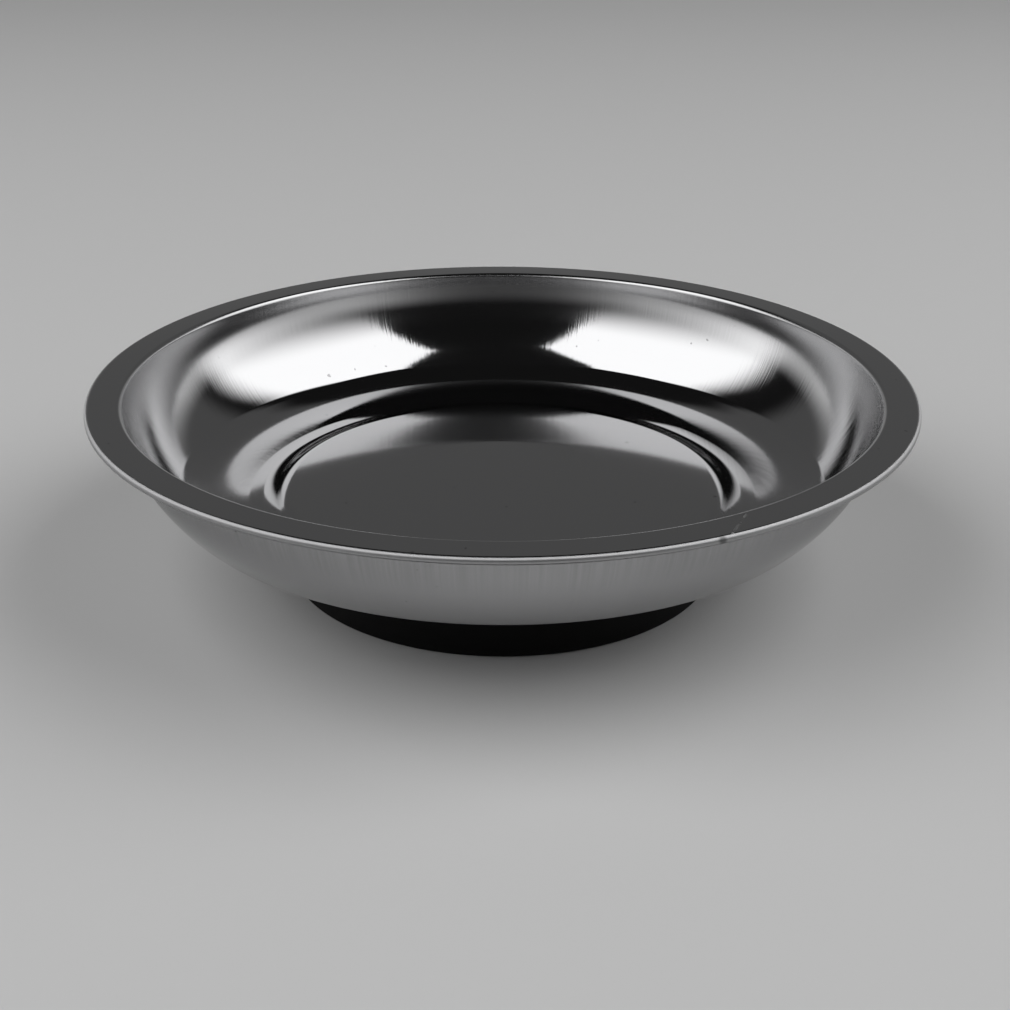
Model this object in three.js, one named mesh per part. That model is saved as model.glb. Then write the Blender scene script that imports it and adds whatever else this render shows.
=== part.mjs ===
// Magnetic parts sorting tray: a pressed stainless dish on a rubber-covered ring magnet.
// Millimetres, +Z up. The origin is the centre of the underside, where the tray stands.
import * as THREE from "three";

// Driving dimensions of the dish. Drops are measured down from the rim to the inside of the sheet.
const RIM_RADIUS = 75;
const TRAY_HEIGHT = 35.8;
const SHEET = 0.8;
const LIP_DEPTH = 1.1;
const BEND_RADIUS = 0.9;
const WALL_RADIUS = 26.6;
const WALL_CENTRE_RADIUS = 42;
const WALL_CENTRE_RISE = 1.8;
const WALL_FOOT_RADIUS = 59.5;
const RISE_RADIUS = 23.5;
const RISE_START_RADIUS = 47.9;
const RISE_SLOPE = 24;
const GUTTER_INNER_RADIUS = 43.8;
const GUTTER_DROP = 21.1;
const SEAT_RADIUS = 39.9;
const SEAT_DROP = 20;

// Driving dimensions of the base
const COVER_RADIUS = 40.2;
const COVER_WALL = 2.2;
const COVER_FLOOR = 2;
const COVER_EDGE = 0.8;
const COVER_LIP_BASE_GAP = 0.3;
const COVER_LIP_RISE = 1.6;
const COVER_TOP_GAP = 0.4;
const PLATE_RADIUS = 37.7;
const PLATE_THICKNESS = 1.2;
const PLATE_CENTRE_RADIUS = 14.8;
const PLATE_STEP = 1.4;
const MAGNET_RADIUS = 36;
const MAGNET_BORE_RADIUS = 17.2;
const MAGNET_THICKNESS = 10.6;
const MAGNET_EDGE = 0.5;
const PAD_RADIUS = 35;
const STUD_RADIUS = 3;
const STUD_HOLE_RADIUS = 3.3;
const STUD_FLANGE_RADIUS = 7;
const STUD_FLANGE_THICKNESS = 1.2;
const THREAD_PITCH = 1;
const THREAD_DEPTH = 0.5;
const THREAD_TURNS = 7;
const THREAD_CREST = 0.2;
const STUD_END = 2.4;
const STUD_PROTRUSION = 0.4;
const WASHER_RADIUS = 6;
const WASHER_THICKNESS = 1.6;
const SPRING_RADIUS = 5.9;
const SPRING_THICKNESS = 1.6;
const SPRING_SLOT = 0.12;
const NUT_ACROSS_FLATS = 10;
const NUT_THICKNESS = 3.2;
const NUT_BORE_RADIUS = 3.1;
const BUSH_CLEARANCE = 0.3;

// Roundness of the meshes
const ROUND_STEPS = 64;
const SMALL_STEPS = 32;
const ARC_STEPS = 8;
const SWELL_STEPS = 4;
const BEND_STEPS = 3;

// Heights worked out from the driving dimensions
const FLOOR_TOP = TRAY_HEIGHT - SEAT_DROP;
const FLOOR_UNDER = FLOOR_TOP - SHEET;
const PLATE_UNDER = COVER_FLOOR;
const MAGNET_UNDER = PLATE_UNDER + PLATE_THICKNESS;
const MAGNET_TOP = MAGNET_UNDER + MAGNET_THICKNESS;
const NUT_UNDER = STUD_END + STUD_PROTRUSION;
const SPRING_UNDER = NUT_UNDER + NUT_THICKNESS;
const WASHER_UNDER = SPRING_UNDER + SPRING_THICKNESS;
const PLATE_CENTRE_UNDER = WASHER_UNDER + WASHER_THICKNESS;
const PLATE_CENTRE_TOP = PLATE_CENTRE_UNDER + PLATE_THICKNESS;

const STAINLESS = { color: 0x8f8f90, roughness: 0.16, metalness: 1 };
const RUBBER = { color: 0x0c0c0c, roughness: 0.75, metalness: 0 };
const FERRITE = { color: 0x2b2c2e, roughness: 0.6, metalness: 0.2 };
const ZINC_STEEL = { color: 0xb9bdc0, roughness: 0.35, metalness: 1 };
const NYLON = { color: 0xe6e3d8, roughness: 0.5, metalness: 0 };
const FIBRE = { color: 0x6f5a3c, roughness: 0.9, metalness: 0 };

function part(name, geometry, finish) {
  const mesh = new THREE.Mesh(geometry, new THREE.MeshStandardMaterial(finish));
  mesh.name = name;
  return mesh;
}

// A turned solid about +Z. The outline runs from the bottom up along its outside, as [radius, height].
function turned(outline, steps) {
  const points = outline.map(([radius, height]) => new THREE.Vector2(radius, height));
  const geometry = new THREE.LatheGeometry(points, steps);
  geometry.rotateX(Math.PI / 2);
  return geometry;
}

// A ring about +Z with a rectangular section and its corners cut by edge.
function ring(inner, outer, under, top, edge, steps) {
  const outline = [
    [inner + edge, under],
    [outer - edge, under],
    [outer, under + edge],
    [outer, top - edge],
    [outer - edge, top],
    [inner + edge, top],
    [inner, top - edge],
    [inner, under + edge],
    [inner + edge, under],
  ];
  const sharp = outline.filter((_, i) => edge > 0 || [0, 1, 3, 5, 8].includes(i));
  return turned(sharp, steps);
}

// Points of an arc about (radius, height), from angle start to end in degrees, 0 pointing outward.
function arc(radius, height, size, start, end, steps) {
  const points = [];
  for (let i = 0; i <= steps; i += 1) {
    const angle = THREE.MathUtils.degToRad(start + ((end - start) * i) / steps);
    points.push([radius + size * Math.cos(angle), height + size * Math.sin(angle)]);
  }
  return points;
}

// A smooth rise or fall between two points that is level at both, without its end points.
function swell(from, to, steps) {
  const points = [];
  for (let i = 1; i < steps; i += 1) {
    const t = i / steps;
    const blend = t * t * (3 - 2 * t);
    points.push([from[0] + (to[0] - from[0]) * t, from[1] + (to[1] - from[1]) * blend]);
  }
  return points;
}

// The line through the middle of the sheet, from the centre of the raised seat over the magnet,
// down into the gutter round it, up the wall and out to the lip.
function sheetLine() {
  const half = SHEET / 2;
  const flangeLine = TRAY_HEIGHT - half;
  const seat = [SEAT_RADIUS, FLOOR_TOP - half];
  const gutter = [GUTTER_INNER_RADIUS, TRAY_HEIGHT - GUTTER_DROP - half];
  const riseRadius = RISE_RADIUS + half;
  const riseCentre = gutter[1] + riseRadius;
  const rise = arc(RISE_START_RADIUS, riseCentre, riseRadius, -90, RISE_SLOPE - 90, SWELL_STEPS);
  const wallCentre = TRAY_HEIGHT + WALL_CENTRE_RISE;
  const wallRadius = WALL_RADIUS + half;
  const footAngle = -Math.acos((WALL_FOOT_RADIUS - WALL_CENTRE_RADIUS) / wallRadius);
  const bendRadius = BEND_RADIUS - half;
  const bendHeight = flangeLine - bendRadius;
  const reach = wallRadius + bendRadius;
  const topAngle = Math.asin((bendHeight - wallCentre) / reach);
  const [foot, top] = [footAngle, topAngle].map(THREE.MathUtils.radToDeg);
  const wall = arc(WALL_CENTRE_RADIUS, wallCentre, wallRadius, foot, top, ARC_STEPS);
  const bendCentre = WALL_CENTRE_RADIUS + reach * Math.cos(topAngle);
  const bend = arc(bendCentre, bendHeight, bendRadius, 180 + top, 90, BEND_STEPS);
  return [
    [0, seat[1]],
    seat,
    ...swell(seat, gutter, SWELL_STEPS),
    gutter,
    ...rise,
    ...wall,
    ...bend.slice(1),
    [RIM_RADIUS - LIP_DEPTH, flangeLine],
  ];
}

// The sheet line moved by half the thickness to one side.
function offset(line, distance) {
  return line.map((point, i) => {
    const before = line[Math.max(i - 1, 0)];
    const after = line[Math.min(i + 1, line.length - 1)];
    const along = new THREE.Vector2(after[0] - before[0], after[1] - before[1]).normalize();
    const radius = i === 0 ? 0 : point[0] - along.y * distance;
    return [radius, point[1] + along.x * distance];
  });
}

function dish() {
  const line = sheetLine();
  const under = offset(line, -SHEET / 2);
  const top = offset(line, SHEET / 2).reverse();
  const lipRadius = LIP_DEPTH - SHEET / 2;
  const lipCentre = RIM_RADIUS - LIP_DEPTH + SHEET / 2;
  const lip = [
    [RIM_RADIUS - SHEET, TRAY_HEIGHT - LIP_DEPTH],
    [RIM_RADIUS, TRAY_HEIGHT - LIP_DEPTH],
    ...arc(RIM_RADIUS - lipRadius, TRAY_HEIGHT - lipRadius, lipRadius, 0, 90, BEND_STEPS),
  ];
  const corner = [lipCentre, TRAY_HEIGHT - SHEET];
  const outline = [...under.slice(0, -1), corner, ...lip, ...top.slice(1)];
  return part("dish", turned(outline, ROUND_STEPS), STAINLESS);
}

function rubberCover() {
  const inside = COVER_RADIUS - COVER_WALL;
  const top = FLOOR_UNDER - COVER_TOP_GAP;
  const lipUnder = MAGNET_UNDER + COVER_LIP_BASE_GAP;
  const lipRadius = MAGNET_RADIUS + COVER_LIP_BASE_GAP;
  const outline = [
    [0, 0],
    [COVER_RADIUS - COVER_EDGE, 0],
    [COVER_RADIUS, COVER_EDGE],
    [COVER_RADIUS, top - COVER_EDGE],
    [COVER_RADIUS - COVER_EDGE, top],
    [inside, top],
    [inside, lipUnder + COVER_LIP_RISE * 2],
    [lipRadius, lipUnder + COVER_LIP_RISE],
    [lipRadius, lipUnder],
    [inside, lipUnder],
    [inside, COVER_FLOOR],
    [0, COVER_FLOOR],
  ];
  return part("rubber_cover", turned(outline, ROUND_STEPS), RUBBER);
}

function ringMagnet() {
  const shape = ring(MAGNET_BORE_RADIUS, MAGNET_RADIUS, MAGNET_UNDER, MAGNET_TOP, MAGNET_EDGE, ROUND_STEPS);
  return part("ring_magnet", shape, FERRITE);
}

function magnetPad() {
  const shape = ring(MAGNET_BORE_RADIUS, PAD_RADIUS, MAGNET_TOP, FLOOR_UNDER, 0, ROUND_STEPS);
  return part("magnet_pad", shape, FIBRE);
}

function polePlate() {
  const stepOuter = PLATE_CENTRE_RADIUS + PLATE_STEP;
  const outline = [
    [STUD_HOLE_RADIUS, PLATE_CENTRE_UNDER],
    [PLATE_CENTRE_RADIUS - PLATE_STEP, PLATE_CENTRE_UNDER],
    [stepOuter - PLATE_STEP, PLATE_UNDER],
    [PLATE_RADIUS, PLATE_UNDER],
    [PLATE_RADIUS, MAGNET_UNDER],
    [stepOuter, MAGNET_UNDER],
    [PLATE_CENTRE_RADIUS, PLATE_CENTRE_TOP],
    [STUD_HOLE_RADIUS, PLATE_CENTRE_TOP],
    [STUD_HOLE_RADIUS, PLATE_CENTRE_UNDER],
  ];
  return part("pole_plate", turned(outline, ROUND_STEPS), ZINC_STEEL);
}

function centringBush() {
  const recess = FLOOR_UNDER - STUD_FLANGE_THICKNESS - BUSH_CLEARANCE;
  const recessRadius = STUD_FLANGE_RADIUS + BUSH_CLEARANCE;
  const outer = MAGNET_BORE_RADIUS - BUSH_CLEARANCE;
  const outline = [
    [STUD_HOLE_RADIUS, PLATE_CENTRE_TOP],
    [outer, PLATE_CENTRE_TOP],
    [outer, FLOOR_UNDER],
    [recessRadius, FLOOR_UNDER],
    [recessRadius, recess],
    [STUD_HOLE_RADIUS, recess],
    [STUD_HOLE_RADIUS, PLATE_CENTRE_TOP],
  ];
  return part("centring_bush", turned(outline, SMALL_STEPS), NYLON);
}

function weldStud() {
  const root = STUD_RADIUS - THREAD_DEPTH;
  const outline = [[0, STUD_END], [root, STUD_END]];
  for (let turn = 0; turn < THREAD_TURNS; turn += 1) {
    const start = STUD_END + turn * THREAD_PITCH;
    const middle = start + THREAD_PITCH / 2;
    outline.push([STUD_RADIUS, middle - THREAD_CREST / 2]);
    outline.push([STUD_RADIUS, middle + THREAD_CREST / 2]);
    outline.push([root, start + THREAD_PITCH]);
  }
  const flangeUnder = FLOOR_UNDER - STUD_FLANGE_THICKNESS;
  outline.push([STUD_RADIUS, STUD_END + THREAD_TURNS * THREAD_PITCH + THREAD_DEPTH]);
  outline.push([STUD_RADIUS, flangeUnder]);
  outline.push([STUD_FLANGE_RADIUS, flangeUnder]);
  outline.push([STUD_FLANGE_RADIUS, FLOOR_UNDER]);
  outline.push([0, FLOOR_UNDER]);
  return part("weld_stud", turned(outline, SMALL_STEPS), ZINC_STEEL);
}

function flatWasher() {
  const shape = ring(STUD_HOLE_RADIUS, WASHER_RADIUS, WASHER_UNDER, PLATE_CENTRE_UNDER, 0, SMALL_STEPS);
  return part("flat_washer", shape, ZINC_STEEL);
}

// A flat plate shape standing on the height given.
function standing(shape, under, thickness) {
  const geometry = new THREE.ExtrudeGeometry(shape, {
    depth: thickness,
    bevelEnabled: false,
    curveSegments: SMALL_STEPS,
  });
  geometry.translate(0, 0, under);
  return geometry;
}

function springWasher() {
  const shape = new THREE.Shape();
  shape.absarc(0, 0, SPRING_RADIUS, SPRING_SLOT, Math.PI * 2 - SPRING_SLOT, false);
  shape.absarc(0, 0, STUD_HOLE_RADIUS, Math.PI * 2 - SPRING_SLOT, SPRING_SLOT, true);
  return part("spring_washer", standing(shape, SPRING_UNDER, SPRING_THICKNESS), ZINC_STEEL);
}

function hexNut() {
  const cornerRadius = NUT_ACROSS_FLATS / Math.sqrt(3);
  const corners = Array.from({ length: 6 }, (_, i) => {
    const angle = (i * Math.PI) / 3;
    return new THREE.Vector2(cornerRadius * Math.cos(angle), cornerRadius * Math.sin(angle));
  });
  const shape = new THREE.Shape(corners);
  const bore = new THREE.Path();
  bore.absarc(0, 0, NUT_BORE_RADIUS, 0, Math.PI * 2, true);
  shape.holes.push(bore);
  return part("hex_nut", standing(shape, NUT_UNDER, NUT_THICKNESS), ZINC_STEEL);
}

const tray = new THREE.Group();
tray.add(dish(), weldStud(), magnetPad(), ringMagnet(), centringBush());
tray.add(polePlate(), flatWasher(), springWasher(), hexNut(), rubberCover());

export default tray;
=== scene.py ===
"""Looks of a magnetic parts tray: a pressed stainless dish on a rubber-covered magnet."""
from math import acos, asin, atan2, cos, hypot, pi, radians, sin, tan

import bmesh
import bpy
from mathutils import Matrix, Vector


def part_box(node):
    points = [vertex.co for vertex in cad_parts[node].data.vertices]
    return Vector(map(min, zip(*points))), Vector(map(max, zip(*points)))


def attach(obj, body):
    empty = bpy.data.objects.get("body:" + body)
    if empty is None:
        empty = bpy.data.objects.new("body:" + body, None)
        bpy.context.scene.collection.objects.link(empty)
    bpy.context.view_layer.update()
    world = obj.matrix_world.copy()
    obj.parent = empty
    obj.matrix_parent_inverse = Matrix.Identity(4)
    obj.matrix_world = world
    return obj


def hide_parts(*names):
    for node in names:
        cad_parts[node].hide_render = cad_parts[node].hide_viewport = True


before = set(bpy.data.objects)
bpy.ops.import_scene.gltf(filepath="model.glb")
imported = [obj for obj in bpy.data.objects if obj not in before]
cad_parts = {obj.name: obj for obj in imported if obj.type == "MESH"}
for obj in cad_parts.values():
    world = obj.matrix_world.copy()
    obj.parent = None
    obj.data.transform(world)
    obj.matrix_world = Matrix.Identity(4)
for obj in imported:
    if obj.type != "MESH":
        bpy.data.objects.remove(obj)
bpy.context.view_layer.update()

MM = 0.001

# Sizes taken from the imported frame
DISH_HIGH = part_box("dish")[1]
COVER_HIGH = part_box("rubber_cover")[1]
RIM_RADIUS = DISH_HIGH.x
RIM_TOP = DISH_HIGH.z
COVER_RADIUS = COVER_HIGH.x
COVER_TOP = COVER_HIGH.z

# The pressed sheet, as radii, as drops below the rim and as how far from a corner its rounding starts
SHEET = 0.8 * MM
LIP_DROP = 1.1 * MM
LIP_ROUND = 0.85 * MM
BEND_ROUND = 0.8 * MM
WALL_RADIUS = 26.6 * MM
WALL_CENTRE_RADIUS = 42 * MM
WALL_CENTRE_RISE = 1.8 * MM
WALL_TOP_DROP = 1.3 * MM
WALL_FOOT_RADIUS = 59.5 * MM
WALL_FOOT_ROUND = 0.6 * MM
RISE_RADIUS = 52.85 * MM
RISE_ROUND = 5 * MM
GUTTER_DROP = 21.1 * MM
GUTTER_LOW_RADIUS = 44.6 * MM
GUTTER_LOW_DROP = 21.2 * MM
GUTTER_HIGH_RADIUS = 47.2 * MM
GUTTER_ROUND = 0.25 * MM
SHOULDER_RADIUS = 43.2 * MM
SHOULDER_ROUND = 1.1 * MM
SEAT_RADIUS = 40.5 * MM
SEAT_ROUND = 1 * MM
SEAT_DROP = 20 * MM
SEAT_CENTRE_RADIUS = 6 * MM

ROUND_STEPS = 256
WALL_STEPS = 28
ROUNDING_STEPS = 12
MERGE_DISTANCE = 0.002 * MM

# The rubber cover's wall and floor, and the rounding of its corners
COVER_WALL = 2.2 * MM
COVER_FLOOR = 2 * MM
COVER_FOOT_ROUND = 0.9 * MM
COVER_LIP_ROUND = 0.6 * MM
COVER_LIP_INNER_ROUND = 0.3 * MM
COVER_INSIDE_ROUND = 0.4 * MM

# The steel: its colour, how fast the brushing changes round the tray and along it, and its small flaws, with
# the shade in a nick painted into the colour
STEEL_COLOUR = (0.42, 0.42, 0.425)
STREAKS = 120
STREAK_LENGTH = 12
LIP_ROUGHNESS = 0.4
SPECK_SHADE = 0.4
# Centre of the painted shade in the nick
NICK_SHADE_PLACE = (32.5 * MM, -67.6 * MM, RIM_TOP - 0.5 * MM)
SCRATCH_PLACE = (35.4 * MM, -62.9 * MM, RIM_TOP)
SCRATCH_TURN = radians(23)
SCRATCH_ROUGHNESS = 0.5


# ---------------------------------------------------------------- modelling

def piece(name, bm, material, stands_for):
    """A finished bmesh as a piece of the tray, riding on its only body."""
    mesh = bpy.data.meshes.new(name)
    bm.to_mesh(mesh)
    bm.free()
    mesh.materials.append(material)
    mesh.shade_smooth()
    made = bpy.data.objects.new(name, mesh)
    bpy.context.scene.collection.objects.link(made)
    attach(made, "root")
    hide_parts(stands_for)
    return made


def outline(bm, corners):
    """Joins (radius, height) corners into a chain of edges. A corner's third number rounds it with an arc
    that starts that far from it along both edges."""
    places = [Vector((corner[0], 0, corner[1])) for corner in corners]
    line = []
    for i, corner in enumerate(corners):
        if len(corner) > 2:
            line += rounding(places[i - 1], places[i], places[i + 1], corner[2])
        else:
            line.append(places[i])
    chain = [bm.verts.new(place) for place in line]
    for start, end in zip(chain, chain[1:]):
        bm.edges.new((start, end))


def rounding(before, corner, after, offset):
    """Points of the arc that rounds a corner."""
    back = (before - corner).normalized()
    on = (after - corner).normalized()
    turning = pi - back.angle(on)
    centre = corner + (back + on).normalized() * hypot(offset, offset / tan(turning / 2))
    start = corner + back * offset - centre
    axis = on.cross(back).normalized()
    turns = [Matrix.Rotation(turning * i / ROUNDING_STEPS, 3, axis) for i in range(ROUNDING_STEPS + 1)]
    return [centre + turn @ start for turn in turns]


def bevel_corner(bm, vert, offset):
    """Softens one corner of a chain of edges, that far along both edges."""
    bmesh.ops.bevel(bm, geom=[vert], offset=offset, offset_type="OFFSET", segments=ROUNDING_STEPS,
                    profile=0.5, affect="VERTICES", material=-1)


def turn(bm):
    """Spins the chain of edges a full turn about the upright axis and closes it up."""
    bmesh.ops.spin(bm, geom=bm.verts[:] + bm.edges[:], cent=(0, 0, 0), axis=(0, 0, 1),
                   angle=2 * pi, steps=ROUND_STEPS, use_merge=True, use_duplicate=False)
    bmesh.ops.remove_doubles(bm, verts=bm.verts[:], dist=MERGE_DISTANCE)
    bmesh.ops.recalc_face_normals(bm, faces=bm.faces[:])


# ---------------------------------------------------------------- finishes

class Finish:
    """A material with a Principled shader and short ways to add nodes to it."""

    def __init__(self, name, colour, metallic, roughness, specular=0.5):
        self.material = bpy.data.materials.new(name)
        self.material.use_nodes = True
        self.tree = self.material.node_tree
        self.shader = self.tree.nodes["Principled BSDF"]
        self.shader.inputs["Base Color"].default_value = (*colour, 1)
        self.shader.inputs["Metallic"].default_value = metallic
        self.shader.inputs["Roughness"].default_value = roughness
        self.shader.inputs["Specular IOR Level"].default_value = specular

    def node(self, kind, **settings):
        made = self.tree.nodes.new(kind)
        for key, value in settings.items():
            if key in made.bl_rna.properties:
                setattr(made, key, value)
            else:
                made.inputs[key.replace("_", " ")].default_value = value
        return made

    def link(self, out, into):
        self.tree.links.new(out, into)

    def place(self):
        return self.node("ShaderNodeTexCoord").outputs["Object"]

    def maths(self, operation, first, second=None):
        made = self.node("ShaderNodeMath", operation=operation)
        for socket, value in zip(made.inputs, (first, second)):
            if value is None:
                continue
            if isinstance(value, (int, float)):
                socket.default_value = value
            else:
                self.link(value, socket)
        return made.outputs[0]

    def noise(self, place, scale, detail=2.0, roughness=0.5):
        made = self.node("ShaderNodeTexNoise", Scale=scale, Detail=detail, Roughness=roughness)
        self.link(place, made.inputs["Vector"])
        return made.outputs["Fac"]

    def spread(self, value, low, high, to_low, to_high):
        made = self.node("ShaderNodeMapRange", clamp=True)
        settings = {"From Min": low, "From Max": high, "To Min": to_low, "To Max": to_high}
        for name, number in settings.items():
            made.inputs[name].default_value = number
        self.link(value, made.inputs["Value"])
        return made.outputs["Result"]

    def bump(self, height, distance):
        made = self.node("ShaderNodeBump", Strength=1.0, Distance=distance)
        self.link(height, made.inputs["Height"])
        self.link(made.outputs["Normal"], self.shader.inputs["Normal"])


def scratch(finish):
    """Added roughness along a short broken scratch across the flat rim, front right."""
    across = finish.node("ShaderNodeVectorRotate", rotation_type="Z_AXIS", Angle=SCRATCH_TURN)
    across.inputs["Center"].default_value = SCRATCH_PLACE
    finish.link(finish.place(), across.inputs["Vector"])
    part = finish.node("ShaderNodeSeparateXYZ")
    finish.link(across.outputs[0], part.inputs[0])
    off = finish.maths("ABSOLUTE", finish.maths("SUBTRACT", part.outputs["X"], SCRATCH_PLACE[0]))
    along = finish.maths("ABSOLUTE", finish.maths("SUBTRACT", part.outputs["Y"], SCRATCH_PLACE[1]))
    thin = finish.spread(off, 0.1 * MM, 0.3 * MM, 1.0, 0.0)
    short = finish.spread(along, 3.4 * MM, 4.2 * MM, 1.0, 0.0)
    broken = finish.spread(finish.noise(finish.place(), 500), 0.42, 0.5, 0.0, SCRATCH_ROUGHNESS)
    return finish.maths("MULTIPLY", finish.maths("MULTIPLY", thin, short), broken)


def painted_nick_shade(finish):
    """Painted shade in a small nick in the lip, front right: the nick is not modelled, its shade is painted
    darker into the colour.
    """
    away = finish.node("ShaderNodeVectorMath", operation="DISTANCE")
    away.inputs[1].default_value = NICK_SHADE_PLACE
    finish.link(finish.place(), away.inputs[0])
    return finish.spread(away.outputs["Value"], 0.4 * MM, 0.9 * MM, 0.6, 0.0)


def stainless(name, polish, dull, dull_from, dull_to, grain, grain_from, grain_to, shade=0.0):
    """Stainless sheet with brushing that runs down the wall. Its roughness goes from polish to dull, and
    its grain from slight to full, between two radii each. Shade is how much the brushing darkens it."""
    finish = Finish(name, STEEL_COLOUR, 1.0, polish)
    finish.shader.inputs["Anisotropic"].default_value = 1.0
    around = finish.node("ShaderNodeTangent", direction_type="UV_MAP", uv_map="wrap")
    finish.link(around.outputs["Tangent"], finish.shader.inputs["Tangent"])
    place = finish.node("ShaderNodeSeparateXYZ")
    finish.link(finish.place(), place.inputs[0])
    x, y, z = place.outputs
    x_squared = finish.maths("MULTIPLY", x, x)
    y_squared = finish.maths("MULTIPLY", y, y)
    radius = finish.maths("SQRT", finish.maths("ADD", x_squared, y_squared))
    on_wall = finish.spread(z, RIM_TOP - 0.5 * MM, RIM_TOP - 0.1 * MM, 1.0, 0.0)
    wall = finish.maths("MULTIPLY", finish.spread(radius, dull_from, dull_to, 0.0, dull - polish), on_wall)
    lip = finish.spread(radius, RIM_RADIUS - 0.6 * MM, RIM_RADIUS - 0.3 * MM, 0.0, LIP_ROUGHNESS - polish)
    worn = finish.maths("MAXIMUM", lip, scratch(finish))
    roughness = finish.maths("ADD", finish.maths("MAXIMUM", wall, worn), polish)
    finish.link(roughness, finish.shader.inputs["Roughness"])
    streak = finish.node("ShaderNodeCombineXYZ")
    finish.link(finish.maths("MULTIPLY", finish.maths("DIVIDE", x, radius), STREAKS), streak.inputs[0])
    finish.link(finish.maths("MULTIPLY", finish.maths("DIVIDE", y, radius), STREAKS), streak.inputs[1])
    finish.link(finish.maths("MULTIPLY", finish.maths("ADD", radius, z), STREAK_LENGTH), streak.inputs[2])
    lines = finish.noise(streak.outputs[0], 1.0, detail=3.0, roughness=0.6)
    full = finish.maths("MULTIPLY", finish.spread(radius, grain_from, grain_to, 0.12, 1.0), on_wall)
    finish.bump(finish.maths("MULTIPLY", lines, full), grain)
    speck = finish.spread(finish.noise(finish.place(), 650, detail=1.0), 0.78, 0.82, 0.0, SPECK_SHADE)
    brushed = finish.maths("MULTIPLY", finish.spread(lines, 0.3, 0.7, 0.0, shade), full)
    # Darker in random specks of the steel, and painted shade in the nick
    specks_and_nick_shade = finish.maths("MAXIMUM", speck, painted_nick_shade(finish))
    value = finish.maths("SUBTRACT", finish.maths("SUBTRACT", 1, specks_and_nick_shade), brushed)
    tint = finish.node("ShaderNodeVectorMath", operation="SCALE")
    tint.inputs[0].default_value = STEEL_COLOUR
    finish.link(value, tint.inputs["Scale"])
    finish.link(tint.outputs[0], finish.shader.inputs["Base Color"])
    return finish.material


def black_rubber():
    """Moulded black rubber with a fine matt grain."""
    finish = Finish("rubber_black", (0.004, 0.004, 0.004), 0.0, 0.65, specular=0.1)
    grain = finish.noise(finish.place(), 1800, detail=3.0)
    finish.bump(grain, 0.03 * MM)
    return finish.material


def grained(name, colour, metallic, roughness, spot, scale, depth, specular=0.5):
    """A plain material whose colour drifts towards a second one in fine grain, with a slight tooth."""
    finish = Finish(name, colour, metallic, roughness, specular)
    grain = finish.noise(finish.place(), scale, detail=4.0, roughness=0.6)
    mix = finish.node("ShaderNodeMix", data_type="RGBA")
    mix.inputs["A"].default_value = (*colour, 1)
    mix.inputs["B"].default_value = (*spot, 1)
    finish.link(finish.spread(grain, 0.4, 0.65, 0.0, 1.0), mix.inputs["Factor"])
    finish.link(mix.outputs["Result"], finish.shader.inputs["Base Color"])
    uneven = finish.spread(grain, 0.3, 0.7, roughness * 0.85, roughness * 1.15)
    finish.link(uneven, finish.shader.inputs["Roughness"])
    finish.bump(grain, depth)
    return finish.material


def dress_inner_pieces():
    """Gives the pieces hidden under the dish, which keep their CAD shapes, their own materials."""
    zinc = grained("zinc_bright", (0.62, 0.64, 0.66), metallic=1.0, roughness=0.32,
                   spot=(0.5, 0.53, 0.57), scale=900, depth=0.004 * MM)
    ferrite = grained("ferrite_grey", (0.05, 0.052, 0.056), metallic=0.0, roughness=0.6,
                      spot=(0.028, 0.029, 0.032), scale=2600, depth=0.02 * MM)
    nylon = grained("nylon_natural", (0.8, 0.78, 0.7), metallic=0.0, roughness=0.5,
                    spot=(0.74, 0.71, 0.62), scale=700, depth=0.01 * MM)
    fibre = grained("fibre_pressed", (0.22, 0.13, 0.06), metallic=0.0, roughness=0.9,
                    spot=(0.13, 0.075, 0.035), scale=1800, depth=0.05 * MM, specular=0.2)
    finishes = {"ring_magnet": ferrite, "centring_bush": nylon, "magnet_pad": fibre}
    for name in ("weld_stud", "pole_plate", "flat_washer", "spring_washer", "hex_nut"):
        finishes[name] = zinc
    for name, material in finishes.items():
        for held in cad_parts[name].material_slots:
            held.link = "OBJECT"
            held.material = material


# ---------------------------------------------------------------- pieces

def wrap_uv(bm):
    """Lays a UV map on a turned shape: u once round the axis, v up the radius."""
    layer = bm.loops.layers.uv.new("wrap")
    for face in bm.faces:
        centre = face.calc_center_median()
        middle = atan2(centre.y, centre.x)
        for loop in face.loops:
            place = loop.vert.co
            turned_by = atan2(place.y, place.x) - middle
            turned_by = (turned_by + pi) % (2 * pi) - pi
            loop[layer].uv = ((middle + turned_by) / (2 * pi), (place.xy.length + place.z) / RIM_RADIUS)


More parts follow.
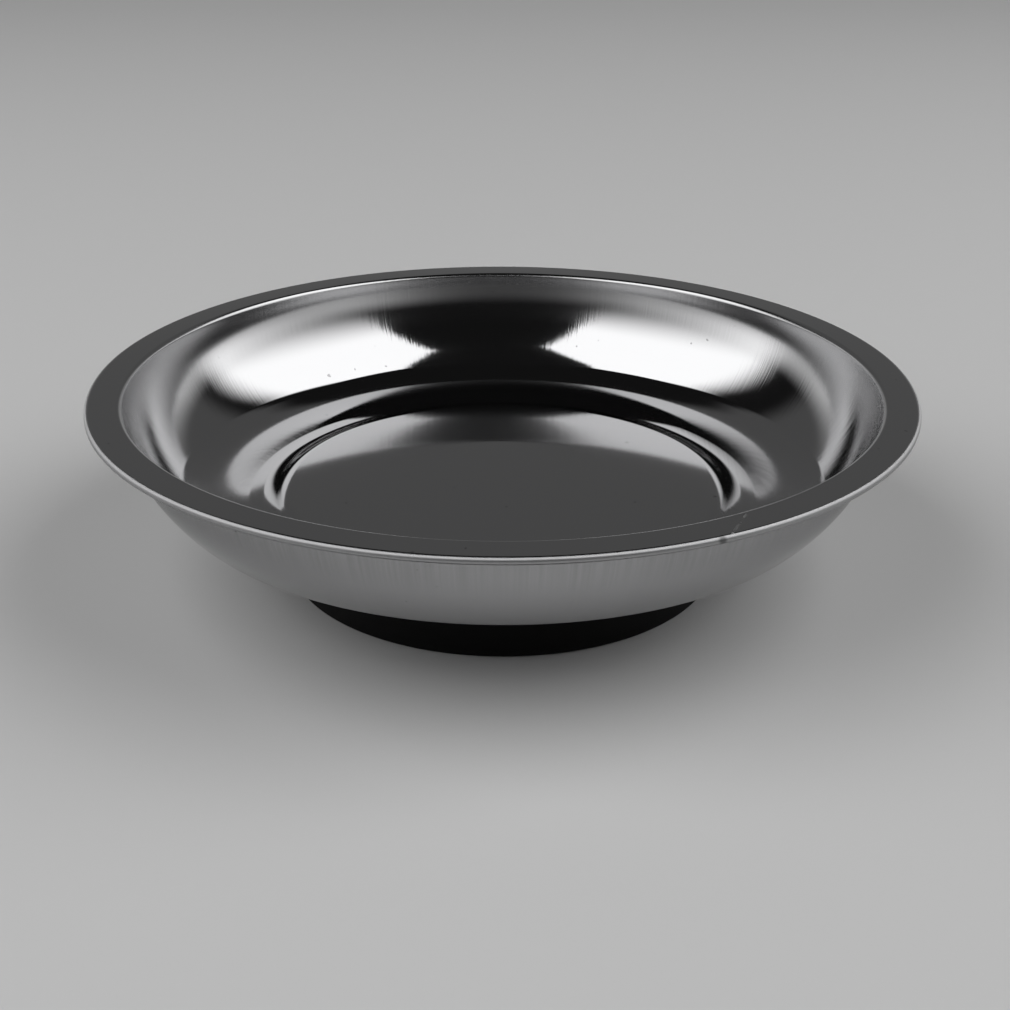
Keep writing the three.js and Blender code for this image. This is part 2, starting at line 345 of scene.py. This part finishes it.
def dish():
    bm = bmesh.new()
    wall_centre = RIM_TOP + WALL_CENTRE_RISE
    top_angle = -asin((WALL_CENTRE_RISE + WALL_TOP_DROP) / WALL_RADIUS)
    foot_angle = -acos((WALL_FOOT_RADIUS - WALL_CENTRE_RADIUS) / WALL_RADIUS)
    top_radius = WALL_CENTRE_RADIUS + WALL_RADIUS * cos(top_angle)
    foot_height = wall_centre + WALL_RADIUS * sin(foot_angle)
    wall_top = bm.verts.new((top_radius, 0, RIM_TOP - WALL_TOP_DROP))
    bmesh.ops.spin(bm, geom=[wall_top], cent=(WALL_CENTRE_RADIUS, 0, wall_centre), axis=(0, 1, 0),
                   angle=top_angle - foot_angle, steps=WALL_STEPS)
    outline(bm, [
        (top_radius, RIM_TOP - WALL_TOP_DROP),
        (top_radius + WALL_TOP_DROP * tan(-top_angle), RIM_TOP, BEND_ROUND),
        (RIM_RADIUS, RIM_TOP, LIP_ROUND),
        (RIM_RADIUS, RIM_TOP - LIP_DROP),
    ])
    outline(bm, [
        (SEAT_CENTRE_RADIUS, RIM_TOP - SEAT_DROP),
        (SEAT_RADIUS, RIM_TOP - SEAT_DROP, SEAT_ROUND),
        (SHOULDER_RADIUS, RIM_TOP - GUTTER_DROP, SHOULDER_ROUND),
        (GUTTER_LOW_RADIUS, RIM_TOP - GUTTER_LOW_DROP, GUTTER_ROUND),
        (GUTTER_HIGH_RADIUS, RIM_TOP - GUTTER_DROP, GUTTER_ROUND),
        (RISE_RADIUS, RIM_TOP - GUTTER_DROP, RISE_ROUND),
        (WALL_FOOT_RADIUS, foot_height),
    ])
    bmesh.ops.remove_doubles(bm, verts=bm.verts[:], dist=MERGE_DISTANCE)
    foot = min(bm.verts, key=lambda vert: (vert.co - Vector((WALL_FOOT_RADIUS, 0, foot_height))).length)
    bevel_corner(bm, foot, WALL_FOOT_ROUND)
    turn(bm)
    seat_hole = [edge for edge in bm.edges if edge.is_boundary and edge.verts[0].co.xy.length < SEAT_RADIUS]
    bmesh.ops.contextual_create(bm, geom=seat_hole)
    bmesh.ops.recalc_face_normals(bm, faces=bm.faces[:])
    middle = min(bm.faces, key=lambda face: face.calc_center_median().xy.length)
    if middle.normal.z < 0:
        bmesh.ops.reverse_faces(bm, faces=bm.faces[:])
    wrap_uv(bm)
    inside = stainless("stainless_inside", polish=0.04, dull=0.17, dull_from=65.5 * MM, dull_to=68.6 * MM,
                       grain=0.014 * MM, grain_from=58 * MM, grain_to=66 * MM)
    outside = stainless("stainless_outside", polish=0.1, dull=0.3, dull_from=64 * MM, dull_to=70 * MM,
                        grain=0.03 * MM, grain_from=66.5 * MM, grain_to=69 * MM, shade=0.2)
    made = piece("dish_sheet", bm, inside, "dish")
    made.data.materials.append(outside)
    thickness = made.modifiers.new("sheet", "SOLIDIFY")
    thickness.material_offset = 1
    thickness.thickness = SHEET
    thickness.offset = -1
    thickness.use_even_offset = True
    flats = made.modifiers.new("flats", "WEIGHTED_NORMAL")
    flats.keep_sharp = True


def rubber_cover():
    bm = bmesh.new()
    inside = COVER_RADIUS - COVER_WALL
    outline(bm, [
        (0, 0),
        (COVER_RADIUS, 0, COVER_FOOT_ROUND),
        (COVER_RADIUS, COVER_TOP, COVER_LIP_ROUND),
        (inside, COVER_TOP, COVER_LIP_INNER_ROUND),
        (inside, COVER_FLOOR, COVER_INSIDE_ROUND),
        (0, COVER_FLOOR),
    ])
    turn(bm)
    piece("rubber_boot", bm, black_rubber(), "rubber_cover")


# ---------------------------------------------------------------- studio

CAMERA_DISTANCE = 310.6 * MM
CAMERA_ELEVATION = radians(19.845)
CAMERA_PITCH = radians(24.087)
CAMERA_YAW = radians(0.099)
CAMERA_ROLL = radians(0.218)
CAMERA_LENS = 60.22
CAMERA_SENSOR = 36

FLOOR_RADIUS = 3
FLOOR_COLOUR = (0.62, 0.62, 0.62)
FLOOR_STEPS = 96

# The softboxes: how far off they stand, how they lean over the tray, the elevations between which the tray
# sees them, their radiance, and the parts of their size over which they dim at the foot and at the back
SOFTBOX_STAND = 1.2
SOFTBOX_LEAN = radians(15)
SOFTBOX_LOW = radians(0)
SOFTBOX_HIGH = radians(69)
SOFTBOX_RADIANCE = 2.3
FOOT_FADE = 0.42
FOOT_SLANT = 0.35
BACK_FADE = 0.22

# Radiance of the card behind the tray, of the light along the horizon and of the rest of the room
CARD_RADIANCE = 0.115
HORIZON_RADIANCE = 0.75
ROOM_RADIANCE = 0.012


def camera():
    data = bpy.data.cameras.new("camera")
    data.lens = CAMERA_LENS
    data.sensor_width = CAMERA_SENSOR
    data.clip_start = 0.01
    data.clip_end = 100
    made = bpy.data.objects.new("camera", data)
    bpy.context.scene.collection.objects.link(made)
    turned = Matrix.Rotation(-CAMERA_YAW, 4, "Z") @ Matrix.Rotation(pi / 2 - CAMERA_PITCH, 4, "X")
    turned = turned @ Matrix.Rotation(CAMERA_ROLL, 4, "Z")
    height = RIM_TOP + CAMERA_DISTANCE * sin(CAMERA_ELEVATION)
    stand = Vector((0, -CAMERA_DISTANCE * cos(CAMERA_ELEVATION), height))
    made.matrix_world = Matrix.Translation(stand) @ turned
    bpy.context.scene.camera = made


def floor():
    bm = bmesh.new()
    bmesh.ops.create_circle(bm, cap_ends=True, segments=FLOOR_STEPS, radius=FLOOR_RADIUS)
    mesh = bpy.data.meshes.new("floor")
    bm.to_mesh(mesh)
    bm.free()
    mesh.materials.append(Finish("floor_pale", FLOOR_COLOUR, 0.0, 0.8).material)
    made = bpy.data.objects.new("floor", mesh)
    bpy.context.scene.collection.objects.link(made)


def softbox(name, azimuth, width):
    """A softbox that leans over the tray. Azimuth 0 is away from the camera and 90 to the right."""
    foot = SOFTBOX_STAND * tan(SOFTBOX_LOW)
    reach = tan(SOFTBOX_HIGH)
    length = (SOFTBOX_STAND * reach - foot) / (cos(SOFTBOX_LEAN) + sin(SOFTBOX_LEAN) * reach)
    data = bpy.data.lights.new(name, "AREA")
    data.shape = "RECTANGLE"
    data.size = width
    data.size_y = length
    data.energy = SOFTBOX_RADIANCE * pi * width * length
    dim_softbox(data, azimuth > 0)
    made = bpy.data.objects.new(name, data)
    bpy.context.scene.collection.objects.link(made)
    inward = sin(SOFTBOX_LEAN) * length / 2
    middle = Vector((0, SOFTBOX_STAND - inward, foot + cos(SOFTBOX_LEAN) * length / 2))
    leaning = Matrix.Rotation(SOFTBOX_LEAN - pi / 2, 4, "X")
    turned = Matrix.Rotation(-radians(azimuth), 4, "Z")
    made.matrix_world = turned @ Matrix.Translation(middle) @ leaning
    made.visible_camera = False


def dim_softbox(data, back_is_low):
    """Fades the light up from its foot and in from its back side. The dim foot is slanted, so that it
    reaches higher on the camera's side."""
    data.use_nodes = True
    tree = data.node_tree
    place = tree.nodes.new("ShaderNodeSeparateXYZ")
    tree.links.new(tree.nodes.new("ShaderNodeNewGeometry").outputs["Parametric"], place.inputs[0])

    def maths(operation, first, second):
        made = tree.nodes.new("ShaderNodeMath")
        made.operation = operation
        for socket, value in zip(made.inputs, (first, second)):
            if isinstance(value, (int, float)):
                socket.default_value = value
            else:
                tree.links.new(value, socket)
        return made.outputs[0]

    def ramp(value, width):
        made = tree.nodes.new("ShaderNodeMapRange")
        made.interpolation_type = "SMOOTHSTEP"
        made.inputs["From Max"].default_value = width
        tree.links.new(value, made.inputs["Value"])
        return made.outputs["Result"]

    across, down = place.outputs["X"], place.outputs["Y"]
    from_back = across if back_is_low else maths("SUBTRACT", 1, across)
    slanted = maths("MULTIPLY", from_back, FOOT_SLANT)
    up = maths("SUBTRACT", maths("SUBTRACT", 1 + FOOT_SLANT / 2, down), slanted)
    strength = maths("MULTIPLY", ramp(up, FOOT_FADE), ramp(from_back, BACK_FADE))
    tree.links.new(strength, tree.nodes["Emission"].inputs["Strength"])


def surroundings():
    """A dark room: a grey card behind the tray, pale light along the horizon, and nearly black elsewhere."""
    world = bpy.data.worlds.new("studio")
    bpy.context.scene.world = world
    world.use_nodes = True
    tree = world.node_tree
    way = tree.nodes.new("ShaderNodeSeparateXYZ")
    tree.links.new(tree.nodes.new("ShaderNodeTexCoord").outputs["Generated"], way.inputs[0])

    def band(value, low, high, to_low, to_high):
        made = tree.nodes.new("ShaderNodeMapRange")
        made.interpolation_type = "SMOOTHSTEP"
        settings = {"From Min": low, "From Max": high, "To Min": to_low, "To Max": to_high}
        for name, number in settings.items():
            made.inputs[name].default_value = number
        tree.links.new(value, made.inputs["Value"])
        return made.outputs["Result"]

    def both(first, second, operation="MULTIPLY"):
        made = tree.nodes.new("ShaderNodeMath")
        made.operation = operation
        for socket, value in zip(made.inputs, (first, second)):
            if isinstance(value, float):
                socket.default_value = value
            else:
                tree.links.new(value, socket)
        return made.outputs[0]

    x, y, z = way.outputs
    card = both(band(y, 0.45, 0.6, 0.0, 1.0), band(z, 0.69, 0.76, 1.0, 0.0))
    low_down = both(band(z, 0.12, 0.33, 1.0, 0.0), band(y, 0.6, 0.95, 1.0, 0.25))
    horizon = both(low_down, band(y, -1.0, -0.6, 0.1, 1.0))
    light = both(both(card, CARD_RADIANCE), both(horizon, HORIZON_RADIANCE), "ADD")
    light = both(light, ROOM_RADIANCE, "ADD")
    tree.links.new(light, tree.nodes["Background"].inputs["Color"])


def studio():
    camera()
    floor()
    surroundings()
    softbox("softbox_left", -108, 1.7)
    softbox("softbox_right", 95, 1.6)
    bpy.context.scene.view_settings.view_transform = "Standard"


dish()
rubber_cover()
dress_inner_pieces()
studio()
